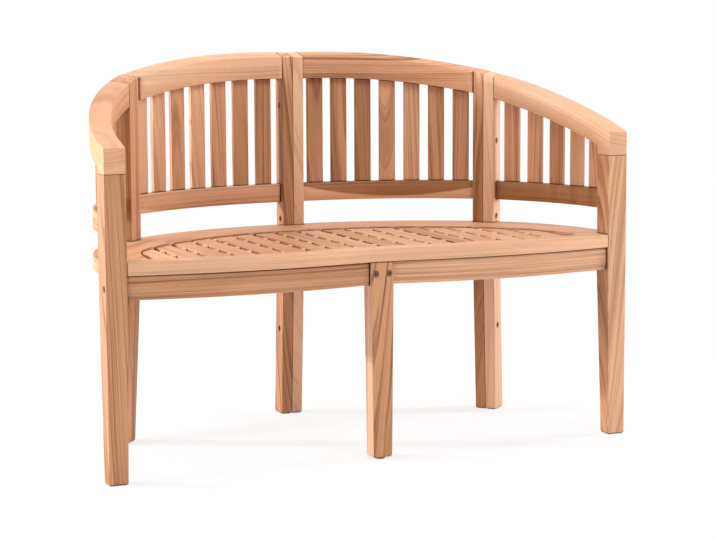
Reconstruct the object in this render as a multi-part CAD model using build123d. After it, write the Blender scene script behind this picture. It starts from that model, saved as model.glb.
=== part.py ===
from build123d import *
import math
import os

# A two-seat garden bench of solid teak with a curved back that runs on into the arms.
# Millimetres, +X to the right as seen from the front, +Y to the rear, +Z up.
# The plan is symmetrical about X = 0. It is drawn with the front face of the front legs
# at Y = 0, and the finished bench is moved so that its box is centred on the origin.

# Plan of the bench
clear_width = 1095.0            # between the inner faces of the two front legs
back_depth = 487.0              # front leg face to the front of the centre back post
back_radius = 632.0             # curve of each half of the back, at the front of the posts
lobe_offset = 28.0              # how far the centre of that curve lies from the middle
corner_angle = 38.3             # where on that curve the corner posts stand, degrees
corner_post_turn = 50.0         # how far the corner posts are turned, degrees
side_radius = 486.0             # curve of each side, at the front of the posts
front_setout = 6.0              # where the halves of the seat's front edge meet, ahead of the leg faces
front_bulge = 27.0              # rise of each half of the seat's front edge
front_hollow = 500.0            # radius of the hollow that joins the two halves

# Legs and posts
leg_width = 45.0
leg_depth = 50.0
leg_height = 621.0              # top of the front leg, under the arm
leg_foot_width = 40.0
leg_foot_depth = 34.0
centre_leg_width = 51.0
centre_leg_depth = 40.0
centre_leg_foot_width = 43.0
centre_leg_foot_depth = 36.0
centre_leg_face = -8.0          # front face of the centre leg, from the leg faces
post_width = 25.5               # one half of a double post
post_depth = 45.0
post_rake = 22.0                # how far a rear foot stands behind its post
foot_chamfer = 3.0

# Top rails and arms
arm_rise = 68.5                 # top inner edge of the arm at the front leg, above the leg
arm_middle_rise = 50.5          # arm halfway, carried in to the line between its ends, above its end
corner_rise = 103.0             # top front edge at the corner post, above the arm's end
back_middle_rise = 26.0         # back halfway, carried forward in the same way, above the corner
back_centre_rise = 41.5         # top front edge at the centre post, above the corner
back_top_tilt = 0.22            # rise of the top face per millimetre towards the rear
top_rail_height = 50.0          # at the front face
arm_top_tilt = 0.10
arm_height = 50.0               # at the inner face

# Lower rails and slats
lower_rail_gap = 53.0           # open gap between the seat and the rail
lower_rail_height = 42.0
lower_rail_thickness = 25.0
lower_rail_recess = 16.0        # behind the front of the posts
slat_width = 38.0
slat_thickness = 10.5
back_slat_count = 7
side_slat_count = 5
side_slat_shift = 5.0           # side slats stand this much nearer the corner

# Seat
seat_height = 447.0
rim_thickness = 27.5
rim_inner_back = 88.0           # rim ahead of the front of the posts
rim_inner_side = 56.0
rim_outer_back = 28.0           # rim behind the front of the posts
rim_outer_side = 42.0
front_rail_width = 46.0
rim_joint_gap = 7.0             # joint between front and side rail, behind the front leg
seat_slat_drop = 4.0            # slats lie this much below the rim
seat_slat_thickness = 20.0
seat_slat_width = 44.0
seat_slot_width = 12.0
seat_slats_per_side = 8         # on each side of the middle one
slat_end_gap = 1.0              # open joint between slat ends and rim
tongue_thickness = 8.0
tongue_length = 9.0
spacer_length = 12.0
spacer_pitch = 73.0
spacer_first = 17.5             # a spacer in the slot right of the middle slat, behind the leg faces
spacer_step = 27.0              # spacers of the next slot to the right lie this much further back
spacer_thickness = 16.0
spacer_edge = 8.0               # least wood between a spacer and the rim

# Aprons
apron_height = 49.5
apron_thickness = 25.0
front_apron_middle = 7.0        # front apron behind the leg faces, at the middle
front_apron_end = 8.0           # and at the leg
front_apron_bulge = 32.0
apron_outset = 22.0             # outer face of the side and rear aprons, from the post fronts

# Joints
tenon_length = 16.0
tenon_thickness = 13.0
tenon_height = 28.0
apron_tenon_length = 10.0
apron_tenon_height = 34.0
slat_tenon_width = 24.0
slat_tenon_thickness = 7.0
slat_tenon_length = 12.0
leg_tenon_side = 20.0
leg_tenon_length = 24.0
joint_clearance = 0.2
tenon_root = 4.0                # how far a tenon is rooted in its own piece

# Fasteners
bolt_diameter = 8.0
bolt_head_diameter = 13.0
bolt_head_height = 5.0
bolt_recess = 3.0
bolt_socket = 5.0
bolt_socket_depth = 3.0
sleeve_diameter = 11.0
sleeve_length = 12.0
bolt_clearance = 0.2
post_bolt_low = 202.0
post_bolt_seat_rise = 14.0      # above the seat
post_bolt_centre_drop = 112.0   # below the top of the centre post
post_bolt_corner_drop = 155.5   # below the top of the corner post
apron_bolt_rise = 24.0          # above the bottom of the apron
centre_bolt_spread = 30.0
leg_bolt_reach = 30.0           # cross nut from the inner face of the front leg
cross_nut_diameter = 14.0
cross_nut_length = 20.0
glide_diameter = 22.0
glide_height = 4.0
glide_pin_diameter = 8.0
glide_pin_length = 16.0

# Worked out from the sizes above
far = 2.0 * (clear_width + back_depth)
half_clear = clear_width / 2
rim_bottom = seat_height - rim_thickness
apron_bottom = rim_bottom - apron_height
lower_rail_bottom = seat_height + lower_rail_gap
lower_rail_top = lower_rail_bottom + lower_rail_height
arm_top_end = leg_height + arm_rise
arm_top_middle = arm_top_end + arm_middle_rise
corner_top = arm_top_end + corner_rise
back_top_middle = corner_top + back_middle_rise
back_top_centre = corner_top + back_centre_rise
post_bolt_seat = seat_height + post_bolt_seat_rise
post_bolt_centre_high = back_top_centre - post_bolt_centre_drop
post_bolt_corner_high = corner_top - post_bolt_corner_drop
apron_bolt_height = apron_bottom + apron_bolt_rise
turn = math.radians(corner_post_turn)
corner = math.radians(corner_angle)

back_centre = Vector(lobe_offset, back_depth - math.sqrt(back_radius**2 - lobe_offset**2))
centre_post = Vector(0, back_depth)
corner_post = back_centre + Vector(math.sin(corner), math.cos(corner)) * back_radius
arm_end = Vector(half_clear, leg_depth)
side_run = arm_end - corner_post
side_out = Vector(-side_run.Y, side_run.X).normalized()
side_rise = math.sqrt(side_radius**2 - side_run.length**2 / 4)
side_centre = corner_post + side_run / 2 - side_out * side_rise


# Small helpers
def box(x0, x1, y0, y1, z0, z1):
    return Pos((x0 + x1) / 2, (y0 + y1) / 2, (z0 + z1) / 2) * Box(x1 - x0, y1 - y0, z1 - z0)


def disc(centre, radius):
    return Pos(centre.X, centre.Y) * Circle(radius)


def prism(face, z0, z1):
    return extrude(Pos(0, 0, z0) * face, amount=z1 - z0, dir=(0, 0, 1))


def ring(centre, radius, inner, outer, z0, z1):
    return prism(disc(centre, radius + outer) - disc(centre, radius + inner), z0, z1)


def beyond(origin, direction):
    """Everything past the upright plane through origin that faces direction."""
    plane = Plane(origin=(origin.X, origin.Y, 0), z_dir=(direction.X, direction.Y, 0))
    return extrude(plane * Rectangle(far, far), amount=far)


def grown(x0, x1, y0, y1, z0, z1, by=joint_clearance):
    return box(x0 - by, x1 + by, y0 - by, y1 + by, z0 - by, z1 + by)


def eased_foot(leg):
    return chamfer(leg.faces().sort_by(Axis.Z)[0].edges(), foot_chamfer)


def mirrored(shape):
    return mirror(shape, about=Plane.YZ)


right_half = Pos(far / 2, 0) * Rectangle(far, 2 * far)


# Front of the seat: two bulging halves, joined at the middle by a hollow
class FrontArc:
    """Arc from the middle of the front to the inner face of the right leg."""

    def __init__(self, middle, end, bulge):
        start = Vector(0, middle)
        chord = Vector(half_clear, end) - start
        inward = Vector(-chord.Y, chord.X).normalized()
        self.radius = (chord.length**2 / 4 + bulge**2) / (2 * bulge)
        self.centre = start + chord / 2 + inward * (self.radius - bulge)

    def area(self, inset):
        return disc(self.centre, self.radius - inset)

    def y(self, inset, x):
        return self.centre.Y - math.sqrt((self.radius - inset)**2 - (x - self.centre.X)**2)


seat_edge = FrontArc(-front_setout, 0, front_bulge)
apron_face = FrontArc(front_apron_middle, front_apron_end, front_apron_bulge)
centre_span = seat_edge.radius + front_hollow
hollow_centre = Vector(0, seat_edge.centre.Y - math.sqrt(centre_span**2 - seat_edge.centre.X**2))
hollow_reach = hollow_centre + (seat_edge.centre - hollow_centre) * (2 * far / centre_span)
hollow_zone = make_face(Polyline(
    (0, hollow_centre.Y), (hollow_reach.X, hollow_reach.Y), (0, hollow_reach.Y), close=True
))


def front_area(inset):
    """What lies behind the seat's front edge when that is moved in by inset."""
    hollow = disc(hollow_centre, front_hollow + inset)
    return (seat_edge.area(inset) - hollow_zone) + (hollow_zone - hollow)


def front_edge_y(inset, x):
    """Y of the seat's front edge, moved in by inset, at x."""
    if x < seat_edge.centre.X * (front_hollow + inset) / centre_span:
        return hollow_centre.Y + math.sqrt((front_hollow + inset)**2 - x**2)
    return seat_edge.y(inset, x)


def plan(back_offset, side_offset, front_inset):
    """Right half of the bench's plan: back and side curves moved out, front edge moved in."""
    back = disc(back_centre, back_radius + back_offset)
    side = disc(side_centre, side_radius + side_offset)
    return back & side & front_area(front_inset) & right_half


# Posts: two half posts bolted together at the middle of the back and at each corner
class Post:
    """A double post: its place, the direction along the back and the direction outwards."""

    def __init__(self, place, angle):
        self.place = place
        self.along = Vector(math.cos(angle), -math.sin(angle))
        self.out = Vector(math.sin(angle), math.cos(angle))
        self.frame = Plane(
            origin=(place.X, place.Y, 0), x_dir=(self.along.X, self.along.Y, 0), z_dir=(0, 0, 1)
        )

    def local(self, shape):
        return self.frame * shape

    def edge(self, side):
        return self.place + self.along * (side * post_width)

    def half(self, side, height):
        bend = rim_bottom
        outline = Polyline(
            (0, height), (0, bend), (post_rake, 0), (post_rake + post_depth, 0),
            (post_depth, bend), (post_depth, height), close=True,
        )
        plane = Plane(
            origin=(self.place.X, self.place.Y, 0),
            x_dir=(self.out.X, self.out.Y, 0),
            z_dir=(self.along.X, self.along.Y, 0),
        )
        return eased_foot(extrude(plane * make_face(outline), amount=side * post_width))

    def tenon(self, side, depth_at, z_middle, height, length, grow=0.0):
        near = post_width - length - grow
        end = post_width + (tenon_root if grow == 0.0 else 0.0)
        x0, x1 = sorted((side * near, side * end))
        half_y = tenon_thickness / 2 + grow
        half_z = height / 2 + grow
        return self.local(
            box(x0, x1, depth_at - half_y, depth_at + half_y, z_middle - half_z, z_middle + half_z)
        )


post_centre = Post(centre_post, 0.0)
post_corner = Post(corner_post, turn)


def rake_at(z):
    return post_rake * max(0.0, rim_bottom - z) / rim_bottom


# Arched top edges, drawn on the upright plane through the two ends of a panel
class Arch:
    """Top and bottom edges of a top rail, drawn on the upright plane from start to end.

    The top face is tilted, and the curved rail bulges away from that plane by up to bulge,
    so the bottom edge is given half way as much more as the tilt adds there.
    """

    def __init__(self, start, end, radius, z_start, z_middle, z_end, height, tilt):
        self.start = start
        self.run = end - start
        self.length = self.run.length
        self.along = self.run.normalized()
        self.out = Vector(-self.along.Y, self.along.X)
        self.height = height
        self.tilt = tilt
        self.rise = z_end - z_start
        self.z_start = z_start
        self.swell = z_middle - (z_start + z_end) / 2
        self.bulge = radius - math.sqrt(radius**2 - self.length**2 / 4)

    def edge(self, s, swell):
        t = s / self.length
        return self.z_start + self.rise * t + 4 * swell * t * (1 - t)

    def top(self, s):
        return self.edge(s, self.swell)

    def bottom(self, s):
        return self.edge(s, self.swell + self.tilt * self.bulge) - self.height

    def station(self, point):
        return (point - self.start).dot(self.along)

    def above(self, edge, tilt):
        """Everything above an edge of the rail, its face tilted up towards the rear."""
        s0 = -self.length / 2
        s1 = self.length * 1.5
        high = max(edge(s0), edge(s1)) + self.length
        arc = ThreePointArc((s0, edge(s0)), (self.length / 2, edge(self.length / 2)), (s1, edge(s1)))
        outline = make_face(arc + Polyline((s1, edge(s1)), (s1, high), (s0, high), (s0, edge(s0))))
        plane = Plane(
            origin=(self.start.X, self.start.Y, 0),
            x_dir=(self.along.X, self.along.Y, 0),
            z_dir=(-self.out.X, -self.out.Y, 0),
        )
        way = (self.out.X, self.out.Y, tilt)
        return extrude(plane * outline, amount=self.length, dir=way, both=True)


back_arch = Arch(
    centre_post, corner_post, back_radius,
    back_top_centre, back_top_middle, corner_top, top_rail_height, back_top_tilt,
)
arm_arch = Arch(
    corner_post, arm_end, side_radius,
    corner_top, arm_top_middle, arm_top_end, arm_height, arm_top_tilt,
)
over_back = back_arch.above(back_arch.top, back_arch.tilt)
over_back_bottom = back_arch.above(back_arch.bottom, 0.0)
over_arm = arm_arch.above(arm_arch.top, arm_arch.tilt)
over_arm_bottom = arm_arch.above(arm_arch.bottom, 0.0)
stock_top = back_top_centre + far * 0.05


# Top rails and arms, cut to the plan curve and then to the arch
def top_rail():
    rail = ring(back_centre, back_radius, 0, post_depth, 0, stock_top)
    rail -= beyond(post_centre.edge(1), post_centre.along * -1)
    rail -= beyond(post_corner.edge(-1), post_corner.along)
    rail -= beyond(Vector(0, 0), Vector(0, -1))
    return (rail & over_back_bottom) - over_back


def arm_rail():
    """The curved arm with the block at its end that stands on the front leg."""
    rail = ring(side_centre, side_radius, 0, post_depth, 0, stock_top)
    rail -= beyond(post_corner.edge(1), post_corner.along * -1)
    rail -= beyond(arm_end, Vector(0, -1))
    rail -= beyond(Vector(leg_outer, 0), Vector(1, 0))
    rail -= beyond(side_centre, Vector(-1, 0))
    rail = rail & over_arm_bottom
    rail += box(leg_inner, leg_outer, 0, leg_depth, leg_height, stock_top)
    return rail - over_arm - over_back


def rail_end_middle(arch, post, side):
    s = arch.station(post.edge(side))
    return (arch.top(s) + arch.bottom(s)) / 2


lower_middle = lower_rail_recess + lower_rail_thickness / 2
lower_rail_z = lower_rail_bottom + lower_rail_height / 2
apron_middle = apron_outset - apron_thickness / 2
apron_z = apron_bottom + apron_height / 2
top_middle = post_depth / 2


# What enters each face of a post: place in its depth, height of its middle, tenon height, length
def post_tenons(post, side, arch):
    return (
        (top_middle, rail_end_middle(arch, post, side), tenon_height, tenon_length),
        (lower_middle, lower_rail_z, tenon_height, tenon_length),
        (apron_middle + rake_at(apron_z), apron_z, apron_tenon_height, apron_tenon_length),
    )


TOP, LOWER, APRON = range(3)
centre_right = post_tenons(post_centre, 1, back_arch)
corner_back = post_tenons(post_corner, -1, back_arch)
corner_side = post_tenons(post_corner, 1, arm_arch)


def with_tenon(piece, post, side, joint):
    return piece + post.tenon(side, *joint)


def with_mortises(half, post, side, joints):
    for joint in joints:
        half -= post.tenon(side, *joint, grow=joint_clearance)
    return half


# Bolts: a socket head, a shank and a sleeve nut, drawn along +X from the head's face
def bolt(grip):
    head = Pos(bolt_recess) * Rot(0, 90, 0) * Cylinder(
        bolt_head_diameter / 2, bolt_head_height, align=(Align.CENTER, Align.CENTER, Align.MIN)
    )
    shank_end = grip - bolt_recess - bolt_head_height
    shank = Pos(bolt_recess) * Rot(0, 90, 0) * Cylinder(
        bolt_diameter / 2, shank_end - bolt_recess, align=(Align.CENTER, Align.CENTER, Align.MIN)
    )
    socket = extrude(
        Plane(origin=(bolt_recess, 0, 0), x_dir=(0, 1, 0), z_dir=(1, 0, 0))
        * RegularPolygon(bolt_socket / 2, 6),
        amount=bolt_socket_depth,
    )
    return head + shank - socket


def sleeve_nut(grip):
    flange_face = grip - bolt_recess
    flange = Pos(flange_face) * Rot(0, -90, 0) * Cylinder(
        bolt_head_diameter / 2, bolt_head_height, align=(Align.CENTER, Align.CENTER, Align.MIN)
    )
    sleeve = Pos(flange_face) * Rot(0, -90, 0) * Cylinder(
        sleeve_diameter / 2, bolt_head_height + sleeve_length,
        align=(Align.CENTER, Align.CENTER, Align.MIN),
    )
    room = bolt_diameter / 2 + bolt_clearance / 2
    return flange + sleeve - bar(room, 0, grip - bolt_recess - bolt_head_height)


def bar(radius, x0, x1):
    return Pos(x0) * Rot(0, 90, 0) * Cylinder(
        radius, x1 - x0, align=(Align.CENTER, Align.CENTER, Align.MIN)
    )


def bolt_bore(grip):
    head = bolt_head_diameter / 2 + bolt_clearance
    seat = bolt_recess + bolt_head_height
    bore = bar(bolt_diameter / 2 + bolt_clearance, 0, grip)
    bore += bar(head, 0, seat)
    bore += bar(head, grip - seat, grip)
    return bore + bar(sleeve_diameter / 2 + bolt_clearance, grip - seat - sleeve_length, grip)


def post_bolt_frames(post, side, high):
    """Frames with X along each bolt of a post, from the face on that side."""
    start = post.edge(side)
    way = post.along * -side
    frames = []
    for z in (post_bolt_low, post_bolt_seat, high):
        at = start + post.out * (post_depth / 2 + rake_at(z))
        frames.append(Plane(origin=(at.X, at.Y, z), x_dir=(way.X, way.Y, 0), z_dir=(0, 0, 1)))
    return frames


post_grip = 2 * post_width
centre_bolts = post_bolt_frames(post_centre, -1, post_bolt_centre_high)
corner_bolts = post_bolt_frames(post_corner, 1, post_bolt_corner_high)


def bored(piece, frames, grip):
    for frame in frames:
        piece -= frame * bolt_bore(grip)
    return piece


# Half posts with their mortises and bolt holes
def build_posts():
    centre = (post_centre.half(1, stock_top) - over_back)
    centre = with_mortises(centre, post_centre, 1, centre_right)
    mirrored_centre = mirrored(centre)
    back = with_mortises(post_corner.half(-1, stock_top) - over_back, post_corner, -1, corner_back)
    side_stock = post_corner.half(1, stock_top) - over_arm - over_back
    side = with_mortises(side_stock, post_corner, 1, corner_side)
    return (
        bored(mirrored_centre, centre_bolts, post_grip),
        bored(centre, centre_bolts, post_grip),
        bored(back, corner_bolts, post_grip),
        bored(side, corner_bolts, post_grip),
    )


# Front legs, narrower at the foot on the inner and rear faces
def tapered_leg(x0, x1, foot_x0, foot_x1, y0, y1, foot_y1, z_taper, z0, z1):
    side_outline = Polyline(
        (y0, z0), (foot_y1, z0), (y1, z_taper), (y1, z1), (y0, z1), close=True
    )
    front_outline = Polyline(
        (foot_x0, z0), (foot_x1, z0), (x1, z_taper), (x1, z1), (x0, z1), (x0, z_taper), close=True
    )
    deep = extrude(Plane.YZ * make_face(side_outline), amount=far, both=True)
    wide = extrude(Plane.XZ * make_face(front_outline), amount=far, both=True)
    return deep & wide


leg_inner = half_clear
leg_outer = half_clear + leg_width
leg_middle = (leg_inner + leg_outer) / 2
leg_tenon = (
    leg_middle - leg_tenon_side / 2, leg_middle + leg_tenon_side / 2,
    leg_depth / 2 - leg_tenon_side / 2, leg_depth / 2 + leg_tenon_side / 2,
    leg_height - tenon_root, leg_height + leg_tenon_length,
)

# Side lower rail where it enters the rear face of the front leg
side_rail_x = side_centre.X + math.sqrt(
    (side_radius + lower_middle)**2 - (leg_depth - side_centre.Y)**2
)
leg_rail_tenon = (
    side_rail_x - tenon_thickness / 2, side_rail_x + tenon_thickness / 2,
    leg_depth - tenon_length, leg_depth + tenon_root,
    lower_rail_z - tenon_height / 2, lower_rail_z + tenon_height / 2,
)
side_apron_x = side_centre.X + math.sqrt(
    (side_radius + apron_middle)**2 - (leg_depth - side_centre.Y)**2
)
leg_side_apron_tenon = (
    side_apron_x - tenon_thickness / 2, side_apron_x + tenon_thickness / 2,
    leg_depth - apron_tenon_length, leg_depth + tenon_root,
    apron_z - apron_tenon_height / 2, apron_z + apron_tenon_height / 2,
)


cross_nut_x = leg_inner - leg_bolt_reach
front_apron_y = apron_face.y(apron_thickness / 2, cross_nut_x)
leg_front_apron_tenon = (
    leg_inner - tenon_root, leg_inner + apron_tenon_length,
    front_apron_y - tenon_thickness / 2, front_apron_y + tenon_thickness / 2,
    apron_z - apron_tenon_height / 2, apron_z + apron_tenon_height / 2,
)

# Bolt through the front leg into a cross nut in the front apron
leg_bolt_grip = leg_width + leg_bolt_reach + cross_nut_diameter
leg_bolt_frame = Plane(
    origin=(leg_outer, front_apron_y, apron_bolt_height), x_dir=(-1, 0, 0), z_dir=(0, 0, 1)
)


def leg_bolt_bore():
    head = bolt_head_diameter / 2 + bolt_clearance
    shank = bolt_diameter / 2 + bolt_clearance
    return bar(head, 0, bolt_recess + bolt_head_height) + bar(shank, 0, leg_bolt_grip)


cross_nut_place = Pos(cross_nut_x, front_apron_y, apron_bolt_height)


def front_leg():
    leg = tapered_leg(
        leg_inner, leg_outer, leg_outer - leg_foot_width, leg_outer, 0, leg_depth,
        leg_foot_depth, apron_bottom, 0, leg_height,
    )
    leg = eased_foot(leg) + box(*leg_tenon)
    leg -= grown(*leg_rail_tenon)
    leg -= grown(*leg_side_apron_tenon)
    leg -= grown(*leg_front_apron_tenon)
    return leg - leg_bolt_frame * leg_bolt_bore()


# Aprons below the seat
def front_apron_stock():
    board = apron_face.area(0) - apron_face.area(apron_thickness)
    apron = prism(board & right_half, apron_bottom, rim_bottom)
    apron -= beyond(Vector(leg_inner, 0), Vector(1, 0))
    return apron - beyond(apron_face.centre, Vector(0, 1))


centre_apron_rear = apron_face.y(apron_thickness, 0)
centre_bolt_grip = centre_apron_rear - centre_leg_face


def centre_bolt_frame(x):
    return Plane(origin=(x, centre_leg_face, apron_bolt_height), x_dir=(0, 1, 0), z_dir=(0, 0, 1))


def front_apron():
    apron = front_apron_stock() + box(*leg_front_apron_tenon)
    apron -= leg_bolt_frame * leg_bolt_bore()
    nut_room = cross_nut_diameter / 2 + bolt_clearance
    nut_top = apron_bolt_height + cross_nut_length / 2
    apron -= Pos(cross_nut_x, front_apron_y, (apron_bottom + nut_top) / 2) * Cylinder(
        nut_room, nut_top - apron_bottom
    )
    return apron - centre_bolt_frame(centre_bolt_spread / 2) * bolt_bore(centre_bolt_grip)


def centre_leg():
    half = centre_leg_width / 2
    half_foot = centre_leg_foot_width / 2
    leg = tapered_leg(
        -half, half, -half_foot, half_foot, centre_leg_face, centre_leg_face + centre_leg_depth,
        centre_leg_face + centre_leg_foot_depth, apron_bottom, glide_height, rim_bottom,
    )
    leg = eased_foot(leg)
    notch = prism(apron_face.area(0) & right_half, apron_bottom, rim_bottom)
    leg = leg - notch - mirrored(notch)
    for x in (-centre_bolt_spread / 2, centre_bolt_spread / 2):
        leg -= centre_bolt_frame(x) * bolt_bore(centre_bolt_grip)
    return leg - glide_pin(joint_clearance)


glide_y = centre_leg_face + centre_leg_foot_depth / 2


def glide_pin(grow=0.0):
    height = glide_pin_length + grow
    return Pos(0, glide_y, glide_height + height / 2) * Cylinder(glide_pin_diameter / 2 + grow, height)


def glide():
    return Pos(0, glide_y, glide_height / 2) * Cylinder(glide_diameter / 2, glide_height) + glide_pin()


def side_apron():
    inner = apron_outset - apron_thickness
    apron = ring(side_centre, side_radius, inner, apron_outset, apron_bottom, rim_bottom)
    apron -= beyond(Vector(0, leg_depth), Vector(0, -1))
    apron -= beyond(side_centre, Vector(-1, 0))
    apron -= beyond(post_corner.edge(1), post_corner.along * -1)
    apron = with_tenon(apron, post_corner, 1, corner_side[APRON])
    return apron + box(*leg_side_apron_tenon)


def rear_apron():
    inner = apron_outset - apron_thickness
    apron = ring(back_centre, back_radius, inner, apron_outset, apron_bottom, rim_bottom)
    apron -= beyond(Vector(0, 0), Vector(0, -1))
    apron -= beyond(post_centre.edge(1), post_centre.along * -1)
    apron -= beyond(post_corner.edge(-1), post_corner.along)
    apron = with_tenon(apron, post_centre, 1, centre_right[APRON])
    return with_tenon(apron, post_corner, -1, corner_back[APRON])


# Lower rails of the back and sides
def back_lower_rail():
    outer = lower_rail_recess + lower_rail_thickness
    rail = ring(back_centre, back_radius, lower_rail_recess, outer, lower_rail_bottom, lower_rail_top)
    rail -= beyond(Vector(0, 0), Vector(0, -1))
    rail -= beyond(post_centre.edge(1), post_centre.along * -1)
    rail -= beyond(post_corner.edge(-1), post_corner.along)
    rail = with_tenon(rail, post_centre, 1, centre_right[LOWER])
    return with_tenon(rail, post_corner, -1, corner_back[LOWER])


def side_lower_rail():
    outer = lower_rail_recess + lower_rail_thickness
    rail = ring(side_centre, side_radius, lower_rail_recess, outer, lower_rail_bottom, lower_rail_top)
    rail -= beyond(Vector(0, leg_depth), Vector(0, -1))
    rail -= beyond(side_centre, Vector(-1, 0))
    rail -= beyond(post_corner.edge(1), post_corner.along * -1)
    rail = with_tenon(rail, post_corner, 1, corner_side[LOWER])
    return rail + box(*leg_rail_tenon)


# Slats of the back and sides, each square to the curve where it stands
class SlatRow:
    """Evenly spaced slats on a curve, between two angles measured from +Y towards +X."""

    def __init__(self, centre, radius, first, last, count, arch, over_bottom, shift=0.0):
        self.centre = centre
        self.radius = radius
        self.arch = arch
        self.over_bottom = over_bottom
        room = (last - first) * radius
        gap = (room - count * slat_width) / (count + 1)
        pitch = (slat_width + gap) / radius
        lead = (gap + slat_width / 2 - shift) / radius
        self.angles = [first + lead + i * pitch for i in range(count)]

    def frame(self, angle):
        at = self.centre + Vector(math.sin(angle), math.cos(angle)) * self.radius
        return Plane(
            origin=(at.X, at.Y, 0), x_dir=(math.cos(angle), -math.sin(angle), 0), z_dir=(0, 0, 1)
        )

    def tenon(self, angle, grow=0.0):
        at = self.centre + Vector(math.sin(angle), math.cos(angle)) * self.radius
        top = self.arch.bottom(self.arch.station(at)) + slat_tenon_length + grow
        low = lower_rail_top - slat_tenon_length - grow
        half_x = slat_tenon_width / 2 + grow
        half_y = slat_tenon_thickness / 2 + grow
        return self.frame(angle) * box(-half_x, half_x, -half_y, half_y, low, top)

    def slat(self, angle):
        blank = box(
            -slat_width / 2, slat_width / 2, -slat_thickness / 2, slat_thickness / 2,
            lower_rail_top, stock_top,
        )
        return (self.frame(angle) * blank - self.over_bottom) + self.tenon(angle)

    def slats(self):
        return [self.slat(angle) for angle in self.angles]

    def mortises(self, rail):
        for angle in self.angles:
            rail -= self.tenon(angle, grow=joint_clearance)
        return rail


def curve_angle(centre, point):
    away = point - centre
    return math.atan2(away.X, away.Y)


slat_depth = lower_middle
back_slats = SlatRow(
    back_centre, back_radius + slat_depth,
    curve_angle(back_centre, post_centre.edge(1) + post_centre.out * slat_depth),
    curve_angle(back_centre, post_corner.edge(-1) + post_corner.out * slat_depth),
    back_slat_count, back_arch, over_back_bottom,
)
side_slats = SlatRow(
    side_centre, side_radius + slat_depth,
    curve_angle(side_centre, post_corner.edge(1) + post_corner.out * slat_depth),
    curve_angle(side_centre, Vector(side_rail_x, leg_depth)),
    side_slat_count, arm_arch, over_arm_bottom, side_slat_shift,
)


# Seat: a rim of curved boards, grooved inside to hold the tongues of the slats
slat_top = seat_height - seat_slat_drop
slat_bottom = slat_top - seat_slat_thickness
tongue_bottom = (slat_top + slat_bottom - tongue_thickness) / 2


def opening_plan(grow):
    """The opening in the rim, made larger all round."""
    return plan(grow - rim_inner_back, grow - rim_inner_side, front_rail_width - grow)


opening = opening_plan(0)
slat_plan = opening_plan(-slat_end_gap)
tongue_plan = opening_plan(tongue_length)
groove_plan = opening_plan(tongue_length + joint_clearance)
rim_joint_y = leg_depth + rim_joint_gap


def seat_rim():
    rim = prism(plan(rim_outer_back, rim_outer_side, 0) - opening, rim_bottom, seat_height)
    rim -= prism(
        groove_plan, tongue_bottom - joint_clearance, tongue_bottom + tongue_thickness + joint_clearance
    )
    rim -= box(leg_inner, far, -far, leg_depth, rim_bottom, seat_height)
    for post, side in ((post_centre, 1), (post_corner, -1), (post_corner, 1)):
        rim -= post.half(side, stock_top)
    behind_joint = beyond(Vector(0, rim_joint_y), Vector(0, 1))
    past_corner = beyond(corner_post, post_corner.along)
    front = rim - behind_joint
    rest = rim & behind_joint
    return front, rest - past_corner, rest & past_corner


slat_pitch = seat_slat_width + seat_slot_width


def seat_slats():
    """The middle slat, then those to the right of it."""
    body = prism(slat_plan, slat_bottom, slat_top)
    tongue = prism(tongue_plan, tongue_bottom, tongue_bottom + tongue_thickness)
    slats = []
    for i in range(seat_slats_per_side + 1):
        x0 = i * slat_pitch - seat_slat_width / 2
        strip = box(x0, x0 + seat_slat_width, -far, far, 0, stock_top)
        piece = (body & strip) + (tongue & strip)
        if i == 0:
            piece += mirrored(piece)
        slats.append(piece.solid())
    return slats


def opening_span(x):
    """Front and rear edge of the opening in the rim at x."""
    back = math.sqrt((back_radius - rim_inner_back)**2 - (x - back_centre.X)**2) + back_centre.Y
    side_reach = (side_radius - rim_inner_side)**2 - (x - side_centre.X)**2
    side = math.sqrt(max(0.0, side_reach)) + side_centre.Y
    return front_edge_y(front_rail_width, x), min(back, side)


def seat_spacers():
    """Short blocks between the slats, one step further back from each slot to the next."""
    spacers = []
    half = seat_slot_width / 2
    for i in range(-seat_slats_per_side, seat_slats_per_side):
        x = (i + 0.5) * slat_pitch
        edges = [opening_span(abs(x) - half), opening_span(abs(x) + half)]
        low = max(edge[0] for edge in edges) + spacer_edge
        high = min(edge[1] for edge in edges) - spacer_edge - spacer_length
        y = spacer_first + i * spacer_step
        y += math.ceil((low - y) / spacer_pitch) * spacer_pitch
        while y < high:
            spacers.append(box(x - half, x + half, y, y + spacer_length, slat_top - spacer_thickness, slat_top))
            y += spacer_pitch
    return spacers


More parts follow.
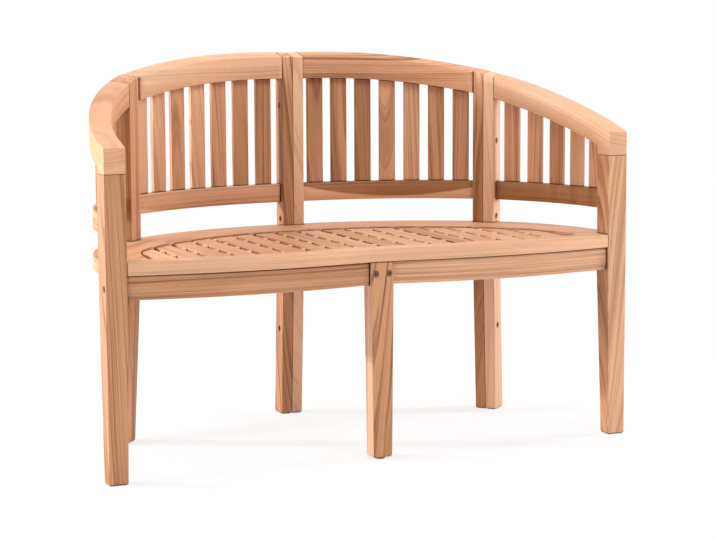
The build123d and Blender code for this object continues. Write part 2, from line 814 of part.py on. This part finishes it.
# Everything, as a list of named pieces in the drawing's own place
def build():
    pieces = {}

    def pair(name, shape):
        pieces[name + "_right"] = shape
        pieces[name + "_left"] = mirrored(shape)

    def group(name, shapes):
        pieces[name] = Compound(children=[part for shape in shapes for part in shape.solids()])

    pair("front_leg", front_leg())
    pieces["front_leg_centre"] = centre_leg()
    posts = build_posts()
    pieces["rear_post_centre_left"] = posts[0]
    pieces["rear_post_centre_right"] = posts[1]
    pair("rear_post_corner_back", posts[2])
    pair("rear_post_corner_side", posts[3])

    rail = with_tenon(top_rail(), post_centre, 1, centre_right[TOP])
    rail = with_tenon(rail, post_corner, -1, corner_back[TOP])
    pair("back_top_rail", back_slats.mortises(rail))
    arm = with_tenon(arm_rail(), post_corner, 1, corner_side[TOP]) - grown(*leg_tenon)
    pair("arm_rail", side_slats.mortises(arm))
    pair("back_lower_rail", back_slats.mortises(back_lower_rail()))
    pair("side_lower_rail", side_slats.mortises(side_lower_rail()))
    for row, name in ((back_slats, "back_slat"), (side_slats, "side_slat")):
        for number, slat in enumerate(row.slats(), 1):
            pieces[f"{name}_right_{number}"] = slat
            pieces[f"{name}_left_{number}"] = mirrored(slat)

    front, rear, side = seat_rim()
    pieces["seat_front_rail"] = front + mirrored(front)
    pair("seat_rear_rail", rear)
    pair("seat_side_rail", side)
    pair("front_apron", front_apron())
    pair("side_apron", side_apron())
    pair("rear_apron", rear_apron())
    slats = seat_slats()
    group("seat_slats", slats + [mirrored(slat) for slat in slats[1:]])
    group("seat_spacers", seat_spacers())

    post_bolts = [frame * bolt(post_grip) for frame in centre_bolts]
    post_nuts = [frame * sleeve_nut(post_grip) for frame in centre_bolts]
    for frame in corner_bolts:
        post_bolts += [frame * bolt(post_grip), mirrored(frame * bolt(post_grip))]
        post_nuts += [frame * sleeve_nut(post_grip), mirrored(frame * sleeve_nut(post_grip))]
    group("post_bolts", post_bolts)
    group("post_bolt_nuts", post_nuts)

    leg_bolt = leg_bolt_frame * bolt(leg_bolt_grip + bolt_recess)
    cross_nut = cross_nut_place * Cylinder(cross_nut_diameter / 2, cross_nut_length)
    cross_nut -= leg_bolt_frame * bar(bolt_diameter / 2 + bolt_clearance / 2, 0, leg_bolt_grip)
    apron_bolts = [leg_bolt, mirrored(leg_bolt)]
    apron_nuts = [cross_nut, mirrored(cross_nut)]
    for x in (-centre_bolt_spread / 2, centre_bolt_spread / 2):
        apron_bolts.append(centre_bolt_frame(x) * bolt(centre_bolt_grip))
        apron_nuts.append(centre_bolt_frame(x) * sleeve_nut(centre_bolt_grip))
    group("apron_bolts", apron_bolts)
    group("apron_bolt_nuts", apron_nuts)
    pieces["centre_leg_glide"] = glide()
    return pieces


def main():
    pieces = build()
    boxes = [shape.bounding_box() for shape in pieces.values()]
    front = min(one.min.Y for one in boxes)
    rear = max(one.max.Y for one in boxes)
    to_centre = Pos(0, -(front + rear) / 2, 0)
    os.makedirs("parts", exist_ok=True)
    for name, shape in pieces.items():
        export_step(to_centre * shape, f"parts/{name}.step")


main()
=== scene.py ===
import math
import random

import bpy
from mathutils import Matrix, Vector


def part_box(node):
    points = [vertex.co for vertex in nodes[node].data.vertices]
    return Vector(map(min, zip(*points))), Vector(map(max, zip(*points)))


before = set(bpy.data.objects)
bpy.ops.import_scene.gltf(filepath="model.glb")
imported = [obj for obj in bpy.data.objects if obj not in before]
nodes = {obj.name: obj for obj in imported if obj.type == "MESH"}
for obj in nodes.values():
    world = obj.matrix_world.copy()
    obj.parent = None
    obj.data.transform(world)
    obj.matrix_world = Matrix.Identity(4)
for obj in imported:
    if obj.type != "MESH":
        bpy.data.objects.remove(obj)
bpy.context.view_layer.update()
scene = bpy.context.scene

# Camera, fitted to the photograph. Angles are in degrees, and its place is given in metres from the front
# face of the front legs.
PHOTO_WIDTH = 716
PHOTO_HEIGHT = 540
FOCAL_PX = 1918.27
CENTRE_PX = (354.31, 232.60)
CAMERA_AZIMUTH = 23.5735
CAMERA_PITCH = 6.4585
CAMERA_ROLL = -0.2573
CAMERA_FROM_LEGS = (-1.6347, -3.6078, 0.9277)
SENSOR_MM = 36.0
VIEW_LIMIT = 100.0

# Colours of the wood, linear. Heartwood, the painted shade and dust of joints, and the patterns below
# multiply what they lie on.
WHITE = (1.0, 1.0, 1.0)
TEAK_PALE = (0.850, 0.545, 0.360)
TEAK_LIGHT = (0.685, 0.362, 0.205)
TEAK_MIDDLE = (0.585, 0.284, 0.143)
TEAK_DARK = (0.330, 0.135, 0.048)
TEAK_PLAIN = (0.650, 0.336, 0.186)
HEARTWOOD = (0.52, 0.42, 0.25)
JOINT_SHADE_AND_DUST = (0.07, 0.04, 0.02)

# Patterns of the grain: colours by the value of a noise
RING_BANDS = ((0.35, TEAK_DARK), (0.45, TEAK_MIDDLE), (0.57, TEAK_LIGHT), (0.80, TEAK_MIDDLE))
RING_LINES = ((0.36, (0.42, 0.33, 0.25)), (0.48, WHITE), (0.72, (1.07, 1.07, 1.06)))
FIBRES = ((0.30, (0.84, 0.80, 0.77)), (0.65, (1.05, 1.05, 1.05)))
PATCHES = ((0.32, (0.80, 0.78, 0.76)), (0.68, (1.10, 1.10, 1.10)))
PORES = ((0.24, (0.62, 0.55, 0.50)), (0.34, WHITE))
# painted shade, with dust, in joints and inside corners, by ambient occlusion
JOINT_SHADE_AND_DUST_STOPS = ((0.50, JOINT_SHADE_AND_DUST), (0.97, WHITE))

# Fineness of those noises per metre: twice across the grain, then along it
WANDER_SCALE = (5.0, 5.0, 1.1)
FIBRE_SCALE = (620.0, 620.0, 9.0)
PATCH_SCALE = (16.0, 16.0, 2.2)
PORE_SCALE = (900.0, 900.0, 34.0)
BROAD_RINGS = 85.0
NARROW_RINGS = 330.0
RING_DRIFT = 0.004

# Strength of the patterns
LINE_SHARE = 0.32
LINE_SHARE_OF_FIGURE = 0.6
FIBRE_SHARE = 0.6
PATCH_SHARE = 0.7
PORE_SHARE = 0.6
PALE_SHARE = 0.70
WOOD_ROUGHNESS = 0.38
FIBRE_ROUGHNESS = 0.22
FIBRE_HEIGHT = 0.6
RING_HEIGHT = 0.4
WOOD_BUMP = (0.25, 0.0006)
WOOD_SPECULAR = 0.30

# How boards lie in the log: distance of the pith, and slope of the grain
LYING_PITH = (0.25, 0.50)
LYING_TURN = 0.03
UPRIGHT_PITH = (0.05, 0.22)
PLACE_IN_LOG = 20
SAWN_SLOPE = 0.045
UPRIGHT = (0.0, 0.0, 1.0)
SIDEWAYS = (1.0, 0.0, 0.0)
FORWARD = (0.0, 1.0, 0.0)
MOSTLY_UPRIGHT = 0.9
ARM_FALL = 0.8
FIRST_SEED = 100

# Edges, and the painted shade and dust in joints
WELD_REACH = 0.00002
FLAT_ANGLE = math.radians(0.4)
EASED_EDGE = 0.0016
EDGE_SEGMENTS = 2
EDGE_ANGLE = math.radians(38)
JOINT_SHADE_REACH = 0.004
JOINT_SHADE_SAMPLES = 8

# Tone of each piece: below nought it is darker, above nought paler. Other pieces have nought.
TONES = {
    "front_leg_left": -0.45,
    "front_leg_centre": -0.40,
    "front_leg_right": 0.25,
    "back_top_rail_left": 0.45,
    "back_top_rail_right": -0.15,
    "arm_rail_left": 0.10,
    "arm_rail_right": 0.40,
    "back_lower_rail_left": 0.25,
    "back_lower_rail_right": -0.90,
    "side_lower_rail_right": -1.0,
    "front_apron_left": -0.25,
    "front_apron_right": 0.30,
    "seat_front_rail": 0.45,
    "seat_spacers": 1.0,
    "seat_slats": 0.15,
    "rear_post_centre_left": -0.60,
    "rear_post_centre_right": 0.70,
    "rear_post_corner_back_left": 0.10,
    "rear_post_corner_back_right": -0.75,
    "rear_post_corner_side_left": -0.20,
    "rear_post_corner_side_right": 0.70,
    "back_slat_right_1": -0.40,
    "back_slat_right_2": -0.35,
    "back_slat_right_3": -0.65,
    "back_slat_right_4": 0.05,
    "back_slat_right_5": 0.15,
    "back_slat_right_6": -0.35,
    "back_slat_right_7": -0.30,
    "back_slat_left_1": -0.50,
    "back_slat_left_2": -0.40,
    "back_slat_left_3": -0.10,
    "back_slat_left_4": 0.15,
    "back_slat_left_5": -0.35,
    "back_slat_left_6": 0.15,
    "back_slat_left_7": 0.25,
    "side_slat_right_1": -0.25,
    "side_slat_right_2": -0.25,
    "side_slat_right_3": -0.60,
    "side_slat_right_4": 0.30,
    "side_slat_right_5": -0.05,
    "side_slat_left_2": -0.30,
    "side_slat_left_4": 0.20,
}

# Strength of the rings, by the start of a piece's name. The first match counts.
FIGURES = {
    "arm_rail": 0.14,
    "seat_front_rail": 0.30,
    "seat_side_rail": 0.30,
    "seat_rear_rail": 0.35,
    "seat_slats": 0.40,
    "seat_spacers": 0.20,
    "front_leg_centre": 0.95,
    "front_leg": 0.60,
    "front_apron": 0.85,
    "rear_post": 0.70,
    "back_top_rail_left": 0.40,
    "back_top_rail": 0.75,
    "back_lower_rail": 0.60,
    "side_lower_rail": 0.60,
}
PLAIN_FIGURE = 0.60

# How far the rings wander, in metres, by the start of a piece's name
WANDERS = {
    "front_apron": 0.006,
    "seat_": 0.010,
    "arm_rail": 0.010,
    "back_lower_rail": 0.012,
    "side_lower_rail": 0.012,
}
PLAIN_WANDER = 0.030

# Boards with a paler lower edge: place of its narrowest point, its height there, its bow and its tone
SAPWOOD = {
    "back_lower_rail_right": (0.53, 0.18, 2.9, 0.60),
    "back_lower_rail_left": (0.30, -0.30, 1.6, 1.0),
}
SAPWOOD_BLUR = 0.06

# Upright pieces with painted light at the top, so that they are paler there: tone there
PAINTED_LIT_TOPS = {
    "rear_post_centre_left": 0.10,
    "rear_post_corner_back_right": 0.05,
}
PAINTED_LIT_TOP_REACH = 0.11

# Legs and posts with painted light or painted shade on one side, paler for light and darker for shade: the
# way that side faces, and its tone
SIDE_LIGHT_AND_SHADE = {
    "rear_post_corner_side_left": ((-0.643, -0.766, 0.0), -1.0),
    "front_leg_centre": ((-1.0, 0.0, 0.0), 0.45),
    "front_leg_right": ((-1.0, 0.0, 0.0), -0.25),
}
SIDE_LIGHT_FACING = (0.75, 0.95)

# Nodes that hold many strips of wood side by side, each with a tone and grain of its own
STRIPS = ("seat_slats", "seat_spacers")
SLAT_PITCH = 0.056
STRIP_TONES = 0.6
STRIP_SHIFT = 0.37
STRIP_SLIDE = 1.91

# Bolts and glide
STEEL_STAINS = ((0.3, (0.110, 0.060, 0.034)), (0.7, (0.300, 0.180, 0.110)))
STEEL_STAIN_SCALE = 240.0
STEEL_ROUGHNESS = 0.32
STEEL_PITS = (1500.0, 2.0)
GLIDE_SCUFFS = ((0.3, (0.270, 0.115, 0.080)), (0.7, (0.420, 0.190, 0.130)))
GLIDE_SCUFF_SCALE = 400.0
GLIDE_ROUGHNESS = 0.4
GLIDE_PITS = (400.0, 3.0)
SPOT_ROUGHNESS = 0.3
PIT_BUMP = (0.3, 0.0002)

# Plain white studio: a floor that keeps the shadow, a white world and lamps
FLOOR_COLOUR = (0.86, 0.86, 0.86)
FLOOR_REACH = 30.0
FLOOR_SHADOW = 0.30
FLOOR_NEAR = 0.75
FLOOR_FAR = 1.50
WORLD_LIGHT = 0.48

# Name, place, target, size and power of each lamp
LAMPS = (
    ("key_rear_left", (-3.81, 1.73, 1.46), (0.2, 0.0, 0.62), (0.14, 0.14), 135.0),
    ("side_right", (3.4, -0.4, 1.3), (0.0, 0.0, 0.5), (1.2, 1.8), 68.0),
    ("side_left", (-3.4, 0.1, 1.3), (0.0, 0.0, 0.4), (1.2, 1.8), 62.0),
    ("front_above", (0.8, -3.6, 3.0), (0.0, 0.0, 0.4), (2.5, 1.5), 74.0),
    ("above", (0.0, 0.2, 3.4), (0.0, 0.0, 0.4), (2.4, 1.8), 49.0),
)


def make_camera():
    azimuth = math.radians(CAMERA_AZIMUTH)
    pitch = math.radians(CAMERA_PITCH)
    roll = math.radians(CAMERA_ROLL)
    forward = Vector((
        math.sin(azimuth) * math.cos(pitch), math.cos(azimuth) * math.cos(pitch), -math.sin(pitch)
    ))
    level_right = Vector((math.cos(azimuth), -math.sin(azimuth), 0))
    level_up = level_right.cross(forward)
    right = level_right * math.cos(roll) + level_up * math.sin(roll)
    up = level_up * math.cos(roll) - level_right * math.sin(roll)
    data = bpy.data.cameras.new("camera")
    data.sensor_fit = "HORIZONTAL"
    data.sensor_width = SENSOR_MM
    data.lens = FOCAL_PX / PHOTO_WIDTH * SENSOR_MM
    data.shift_x = (PHOTO_WIDTH / 2 - CENTRE_PX[0]) / PHOTO_WIDTH
    data.shift_y = (CENTRE_PX[1] - PHOTO_HEIGHT / 2) / PHOTO_WIDTH
    data.clip_end = VIEW_LIMIT
    camera = bpy.data.objects.new("camera", data)
    leg_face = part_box("front_leg_right")[0].y
    place = Vector(CAMERA_FROM_LEGS) + Vector((0, leg_face, 0))
    turn = Matrix((right, up, -forward)).transposed().to_4x4()
    camera.matrix_world = Matrix.Translation(place) @ turn
    scene.collection.objects.link(camera)
    scene.camera = camera


# Node helpers
def new_node(tree, kind, **values):
    node = tree.nodes.new(kind)
    for name, value in values.items():
        setattr(node, name, value)
    return node


def feed(tree, socket, value):
    """Set a socket to a number or a colour, or link it to another node's output."""
    if isinstance(value, (int, float)):
        socket.default_value = value
    elif isinstance(value, tuple):
        socket.default_value = (*value, 1.0)
    else:
        tree.links.new(value, socket)


def math_node(tree, operation, first, second=None, clamp=False):
    node = new_node(tree, "ShaderNodeMath", operation=operation, use_clamp=clamp)
    feed(tree, node.inputs[0], first)
    if second is not None:
        feed(tree, node.inputs[1], second)
    return node.outputs[0]


def scaled(tree, value, factor, offset):
    return math_node(tree, "ADD", math_node(tree, "MULTIPLY", value, factor), offset)


def noise(tree, vector, scale, detail=2.0, roughness=0.5):
    node = new_node(tree, "ShaderNodeTexNoise", noise_dimensions="3D")
    node.inputs["Scale"].default_value = scale
    node.inputs["Detail"].default_value = detail
    node.inputs["Roughness"].default_value = roughness
    tree.links.new(vector, node.inputs["Vector"])
    return node.outputs[0]


def ramp(tree, value, stops):
    node = new_node(tree, "ShaderNodeValToRGB")
    elements = node.color_ramp.elements
    while len(elements) < len(stops):
        elements.new(0.5)
    for element, (place, colour) in zip(elements, stops):
        element.position = place
        element.color = (*colour, 1.0)
    tree.links.new(value, node.inputs[0])
    return node.outputs[0]


def soft_step(tree, value, start, end, low, high):
    node = new_node(tree, "ShaderNodeMapRange", interpolation_type="SMOOTHSTEP")
    tree.links.new(value, node.inputs["Value"])
    node.inputs["From Min"].default_value = start
    node.inputs["From Max"].default_value = end
    node.inputs["To Min"].default_value = low
    node.inputs["To Max"].default_value = high
    return node.outputs[0]


def mapped(tree, vector, scale):
    node = new_node(tree, "ShaderNodeMapping")
    node.inputs["Scale"].default_value = scale
    tree.links.new(vector, node.inputs["Vector"])
    return node.outputs[0]


def split(tree, vector):
    node = new_node(tree, "ShaderNodeSeparateXYZ")
    tree.links.new(vector, node.inputs[0])
    return node.outputs


def part_along(tree, vector, way):
    node = new_node(tree, "ShaderNodeVectorMath", operation="DOT_PRODUCT")
    tree.links.new(vector, node.inputs[0])
    node.inputs[1].default_value = way
    return node.outputs["Value"]


def mix_colour(tree, blend, factor, first, second):
    node = new_node(tree, "ShaderNodeMix", data_type="RGBA", blend_type=blend)
    feed(tree, node.inputs[0], factor)
    feed(tree, node.inputs[6], first)
    feed(tree, node.inputs[7], second)
    return node.outputs[2]


def roughen(tree, shader, height, strength, distance):
    bump = new_node(tree, "ShaderNodeBump")
    bump.inputs["Strength"].default_value = strength
    bump.inputs["Distance"].default_value = distance
    tree.links.new(height, bump.inputs["Height"])
    tree.links.new(bump.outputs[0], shader.inputs["Normal"])


def new_material(name):
    material = bpy.data.materials.new(name)
    material.use_nodes = True
    tree = material.node_tree
    coordinates = new_node(tree, "ShaderNodeTexCoord").outputs["Object"]
    return material, tree, tree.nodes["Principled BSDF"], coordinates


# Teak: growth rings about a pith that lies beside the board, fine fibres and short pores.
# Grain coordinates have Z along the board.
def grain_group():
    tree = bpy.data.node_groups.new("teak_grain", "ShaderNodeTree")
    face = tree.interface
    face.new_socket("Grain", in_out="INPUT", socket_type="NodeSocketVector")
    for name in ("Tone", "Figure", "Wander"):
        face.new_socket(name, in_out="INPUT", socket_type="NodeSocketFloat")
    face.new_socket("Colour", in_out="OUTPUT", socket_type="NodeSocketColor")
    for name in ("Roughness", "Height"):
        face.new_socket(name, in_out="OUTPUT", socket_type="NodeSocketFloat")
    source = new_node(tree, "NodeGroupInput")
    sink = new_node(tree, "NodeGroupOutput")
    grain = source.outputs["Grain"]
    figure = source.outputs["Figure"]
    tone = source.outputs["Tone"]

    # distance from the pith, made to wander along the board
    across, deep, along = split(tree, grain)
    wander = noise(tree, mapped(tree, grain, WANDER_SCALE), 1.0)
    wander = math_node(tree, "SUBTRACT", wander, 0.5)
    wander = math_node(tree, "MULTIPLY", wander, source.outputs["Wander"])
    across_squared = math_node(tree, "POWER", across, 2.0)
    deep_squared = math_node(tree, "POWER", deep, 2.0)
    distance = math_node(tree, "SQRT", math_node(tree, "ADD", across_squared, deep_squared))
    radius = math_node(tree, "ADD", distance, wander)

    # broad and narrow rings from noise of that distance
    place = new_node(tree, "ShaderNodeCombineXYZ")
    tree.links.new(radius, place.inputs[0])
    tree.links.new(math_node(tree, "MULTIPLY", along, RING_DRIFT), place.inputs[1])
    rings = place.outputs[0]
    broad = noise(tree, rings, BROAD_RINGS, 2.0, 0.55)
    narrow = noise(tree, rings, NARROW_RINGS, 2.0, 0.6)
    fibre = noise(tree, mapped(tree, grain, FIBRE_SCALE), 1.0, 2.0, 0.6)
    cloud = noise(tree, mapped(tree, grain, PATCH_SCALE), 1.0, 2.0, 0.5)
    pore = noise(tree, mapped(tree, grain, PORE_SCALE), 1.0, 1.0, 0.5)

    base = mix_colour(tree, "MIX", figure, TEAK_PLAIN, ramp(tree, broad, RING_BANDS))
    patterns = (
        (scaled(tree, figure, LINE_SHARE_OF_FIGURE, LINE_SHARE), narrow, RING_LINES),
        (FIBRE_SHARE, fibre, FIBRES),
        (PATCH_SHARE, cloud, PATCHES),
        (PORE_SHARE, pore, PORES),
    )
    for share, pattern, stops in patterns:
        base = mix_colour(tree, "MULTIPLY", share, base, ramp(tree, pattern, stops))

    # tone below nought darkens a piece towards brown, above nought makes it paler
    darker = mix_colour(tree, "MULTIPLY", 1.0, base, HEARTWOOD)
    paler = mix_colour(tree, "MIX", PALE_SHARE, base, TEAK_PALE)
    base = mix_colour(tree, "MIX", math_node(tree, "MULTIPLY", tone, -1.0, clamp=True), base, darker)
    base = mix_colour(tree, "MIX", math_node(tree, "MULTIPLY", tone, 1.0, clamp=True), base, paler)
    tree.links.new(base, sink.inputs["Colour"])

    tree.links.new(scaled(tree, fibre, FIBRE_ROUGHNESS, WOOD_ROUGHNESS), sink.inputs["Roughness"])
    height = scaled(tree, fibre, FIBRE_HEIGHT, math_node(tree, "MULTIPLY", narrow, RING_HEIGHT))
    tree.links.new(height, sink.inputs["Height"])
    return tree


TEAK = grain_group()


def by_start(table, name, otherwise):
    for start, value in table.items():
        if name.startswith(start):
            return value
    return otherwise


def direction_of(name):
    """Way the grain of a piece runs."""
    if name.startswith(("front_leg", "rear_post", "back_slat", "side_slat")):
        return UPRIGHT
    if name in STRIPS:
        return FORWARD
    low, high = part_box(name)
    side = 1.0 if low.x + high.x > 0 else -1.0
    run = high - low
    if name.startswith("arm_rail"):
        return Vector((side * run.x, -run.y, -run.z * ARM_FALL)).normalized()
    if name.startswith(("seat_front", "front_apron")):
        return SIDEWAYS
    return Vector((side * run.x, -run.y, 0.0)).normalized()


def sawn(direction, draw):
    """Grain of an upright piece, which is never quite in line with its sides."""
    return Vector(direction) + Vector((draw.gauss(0, SAWN_SLOPE), draw.gauss(0, SAWN_SLOPE), 0))


def grain_place(tree, coordinates, name, direction, draw):
    """Coordinates of a piece in its log, with the pith at nought and Z along the grain."""
    low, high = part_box(name)
    centre = (low + high) / 2
    # rings of a lying board are stacked, so that its curve in plan doesn't cross many of them
    lying = abs(Vector(direction).z) < MOSTLY_UPRIGHT and name not in STRIPS
    angle = math.atan2(direction[1], direction[0]) + draw.uniform(-LYING_TURN, LYING_TURN)
    reach = draw.uniform(*LYING_PITH)
    if not lying:
        angle = draw.uniform(0, 2 * math.pi)
        reach = draw.uniform(*UPRIGHT_PITH)
        direction = sawn(direction, draw)
    turn = Vector(direction).rotation_difference(Vector(UPRIGHT))
    slide = draw.uniform(-PLACE_IN_LOG, PLACE_IN_LOG)
    pith = Vector((reach * math.cos(angle), reach * math.sin(angle), slide))
    place = new_node(tree, "ShaderNodeMapping", vector_type="POINT")
    place.inputs["Rotation"].default_value = turn.to_euler()
    place.inputs["Location"].default_value = pith - turn @ centre
    tree.links.new(coordinates, place.inputs["Vector"])
    return place.outputs[0]


def painted_lit_top_tone(tree, coordinates, tone, piece):
    """Tone of an upright piece with painted light at its top, fading to its own tone below."""
    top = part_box(piece)[1].z
    height = split(tree, coordinates)[2]
    return soft_step(tree, height, top - PAINTED_LIT_TOP_REACH, top, tone, PAINTED_LIT_TOPS[piece])


def painted_side_tone(tree, tone, piece):
    """Tone of a leg or post with painted light or painted shade on the side that faces one way."""
    way, side = SIDE_LIGHT_AND_SHADE[piece]
    normal = new_node(tree, "ShaderNodeTexCoord").outputs["Normal"]
    return soft_step(tree, part_along(tree, normal, way), *SIDE_LIGHT_FACING, tone, side)


def sapwood_tone(tree, coordinates, tone, piece, way):
    """Tone of a board whose lower edge is paler, up to a bowed line. Lengths are shares of the board."""
    low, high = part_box(piece)
    middle, depth, bow, pale = SAPWOOD[piece]
    start = Vector((low.x if way.x > 0 else high.x, high.y, 0))
    end = Vector((high.x if way.x > 0 else low.x, low.y, 0))
    length = (end - start).dot(way)
    along = part_along(tree, coordinates, way)
    along = math_node(tree, "SUBTRACT", along, start.dot(way) + middle * length)
    rise = math_node(tree, "MULTIPLY", math_node(tree, "POWER", along, 2.0), bow / length ** 2)
    share = math_node(tree, "SUBTRACT", split(tree, coordinates)[2], low.z)
    share = math_node(tree, "DIVIDE", share, high.z - low.z)
    above = math_node(tree, "SUBTRACT", share, math_node(tree, "ADD", rise, depth))
    return soft_step(tree, above, -SAPWOOD_BLUR, SAPWOOD_BLUR, pale, tone)


def strip_number(tree, coordinates):
    across = math_node(tree, "DIVIDE", split(tree, coordinates)[0], SLAT_PITCH)
    return math_node(tree, "FLOOR", math_node(tree, "ADD", across, 0.5))


def strip_tone(tree, strip, tone):
    chance = new_node(tree, "ShaderNodeTexWhiteNoise", noise_dimensions="1D")
    tree.links.new(strip, chance.inputs["W"])
    return scaled(tree, math_node(tree, "SUBTRACT", chance.outputs["Value"], 0.5), STRIP_TONES, tone)


def strip_grain(tree, strip, grain):
    shift = new_node(tree, "ShaderNodeCombineXYZ")
    tree.links.new(math_node(tree, "MULTIPLY", strip, STRIP_SHIFT), shift.inputs[0])
    tree.links.new(math_node(tree, "MULTIPLY", strip, STRIP_SLIDE), shift.inputs[2])
    moved = new_node(tree, "ShaderNodeVectorMath", operation="ADD")
    tree.links.new(grain, moved.inputs[0])
    tree.links.new(shift.outputs[0], moved.inputs[1])
    return moved.outputs[0]


def teak(name, seed):
    """Teak for one piece, with its own grain and tone."""
    material, tree, shader, coordinates = new_material("teak_" + name)
    direction = direction_of(name)
    grain = grain_place(tree, coordinates, name, direction, random.Random(seed))
    tone = TONES.get(name, 0.0)
    if name in SAPWOOD:
        tone = sapwood_tone(tree, coordinates, tone, name, direction)
    # painted light at the top of some posts
    elif name in PAINTED_LIT_TOPS:
        tone = painted_lit_top_tone(tree, coordinates, tone, name)
    # painted light on one side of some legs, painted shade on one side of others
    elif name in SIDE_LIGHT_AND_SHADE:
        tone = painted_side_tone(tree, tone, name)
    elif name in STRIPS:
        strip = strip_number(tree, coordinates)
        tone = strip_tone(tree, strip, tone)
        grain = strip_grain(tree, strip, grain)
    group = new_node(tree, "ShaderNodeGroup", node_tree=TEAK)
    tree.links.new(grain, group.inputs["Grain"])
    feed(tree, group.inputs["Tone"], tone)
    group.inputs["Figure"].default_value = by_start(FIGURES, name, PLAIN_FIGURE)
    group.inputs["Wander"].default_value = by_start(WANDERS, name, PLAIN_WANDER)

    # joints and inside corners are darker by ambient occlusion: painted shade, with dust that gathers there
    crease_shade = new_node(tree, "ShaderNodeAmbientOcclusion", samples=JOINT_SHADE_SAMPLES)
    crease_shade.inputs["Distance"].default_value = JOINT_SHADE_REACH
    shade = ramp(tree, crease_shade.outputs["AO"], JOINT_SHADE_AND_DUST_STOPS)
    colour = mix_colour(tree, "MULTIPLY", 1.0, group.outputs["Colour"], shade)
    tree.links.new(colour, shader.inputs["Base Color"])
    tree.links.new(group.outputs["Roughness"], shader.inputs["Roughness"])
    roughen(tree, shader, group.outputs["Height"], *WOOD_BUMP)
    shader.inputs["Specular IOR Level"].default_value = WOOD_SPECULAR
    return material


def spotted(name, scale, stops, roughness, pits, metallic):
    """Material of a small fitting, with spots of two colours and small pits."""
    material, tree, shader, coordinates = new_material(name)
    spots = noise(tree, coordinates, scale, 3.0, 0.6)
    tree.links.new(ramp(tree, spots, stops), shader.inputs["Base Color"])
    tree.links.new(scaled(tree, spots, SPOT_ROUGHNESS, roughness), shader.inputs["Roughness"])
    shader.inputs["Metallic"].default_value = metallic
    pit_scale, pit_detail = pits
    roughen(tree, shader, noise(tree, coordinates, pit_scale, pit_detail, 0.6), *PIT_BUMP)
    return material


def ease_edges(piece):
    weld = piece.modifiers.new("weld", "WELD")
    weld.merge_threshold = WELD_REACH
    flat = piece.modifiers.new("flat_faces", "DECIMATE")
    flat.decimate_type = "DISSOLVE"
    flat.angle_limit = FLAT_ANGLE
    bevel = piece.modifiers.new("eased_edges", "BEVEL")
    bevel.width = EASED_EDGE
    bevel.segments = EDGE_SEGMENTS
    bevel.limit_method = "ANGLE"
    bevel.angle_limit = EDGE_ANGLE
    bevel.use_clamp_overlap = False
    bevel.harden_normals = True


def dress():
    steel = spotted("bolt_steel", STEEL_STAIN_SCALE, STEEL_STAINS, STEEL_ROUGHNESS, STEEL_PITS, 1.0)
    plastic = spotted("glide_plastic", GLIDE_SCUFF_SCALE, GLIDE_SCUFFS, GLIDE_ROUGHNESS, GLIDE_PITS, 0.0)
    for number, name in enumerate(sorted(nodes)):
        piece = nodes[name]
        if "bolt" in name:
            material = steel
        elif name == "centre_leg_glide":
            material = plastic
        else:
            material = teak(name, FIRST_SEED + number)
            ease_edges(piece)
        piece.data.materials.clear()
        piece.data.materials.append(material)


def background_rays(tree):
    """1 for rays that see the background by themselves or in a reflection, 0 for those that carry light."""
    path = new_node(tree, "ShaderNodeLightPath")
    seen = math_node(tree, "MAXIMUM", path.outputs["Is Camera Ray"], path.outputs["Is Glossy Ray"])
    return math_node(tree, "MAXIMUM", seen, path.outputs["Is Transmission Ray"])


def make_floor():
    mesh = bpy.data.meshes.new("floor")
    reach = FLOOR_REACH
    corners = [(-reach, -reach, 0), (reach, -reach, 0), (reach, reach, 0), (-reach, reach, 0)]
    mesh.from_pydata(corners, [], [(0, 1, 2, 3)])
    floor = bpy.data.objects.new("floor", mesh)
    scene.collection.objects.link(floor)
    material = bpy.data.materials.new("floor")
    material.use_nodes = True
    tree = material.node_tree
    tree.nodes.clear()
    output = new_node(tree, "ShaderNodeOutputMaterial")
    diffuse = new_node(tree, "ShaderNodeBsdfDiffuse")
    diffuse.inputs["Color"].default_value = (*FLOOR_COLOUR, 1.0)
    glow = new_node(tree, "ShaderNodeEmission")
    mix = new_node(tree, "ShaderNodeMixShader")
    # the shadow is kept near the bench, and the floor runs out to plain white
    place = new_node(tree, "ShaderNodeTexCoord").outputs["Object"]
    away = new_node(tree, "ShaderNodeVectorMath", operation="LENGTH")
    tree.links.new(place, away.inputs[0])
    fade = soft_step(tree, away.outputs["Value"], FLOOR_NEAR, FLOOR_FAR, 1.0 - FLOOR_SHADOW, 1.0)
    tree.links.new(math_node(tree, "MULTIPLY", background_rays(tree), fade), mix.inputs[0])
    tree.links.new(diffuse.outputs[0], mix.inputs[1])
    tree.links.new(glow.outputs[0], mix.inputs[2])
    tree.links.new(mix.outputs[0], output.inputs["Surface"])
    mesh.materials.append(material)


def make_world():
    world = bpy.data.worlds.new("studio")
    world.use_nodes = True
    tree = world.node_tree
    shade = tree.nodes["Background"]
    shade.inputs["Color"].default_value = (*WHITE, 1.0)
    strength = scaled(tree, background_rays(tree), 1.0 - WORLD_LIGHT, WORLD_LIGHT)
    tree.links.new(strength, shade.inputs["Strength"])
    scene.world = world


def lamp(name, place, target, size, power):
    data = bpy.data.lights.new(name, "AREA")
    data.shape = "RECTANGLE"
    data.size = size[0]
    data.size_y = size[1]
    data.energy = power
    light = bpy.data.objects.new(name, data)
    way = Vector(target) - Vector(place)
    light.location = place
    light.rotation_euler = way.to_track_quat("-Z", "Y").to_euler()
    scene.collection.objects.link(light)


make_camera()
dress()
make_floor()
make_world()
for values in LAMPS:
    lamp(*values)
scene.view_settings.view_transform = "Standard"
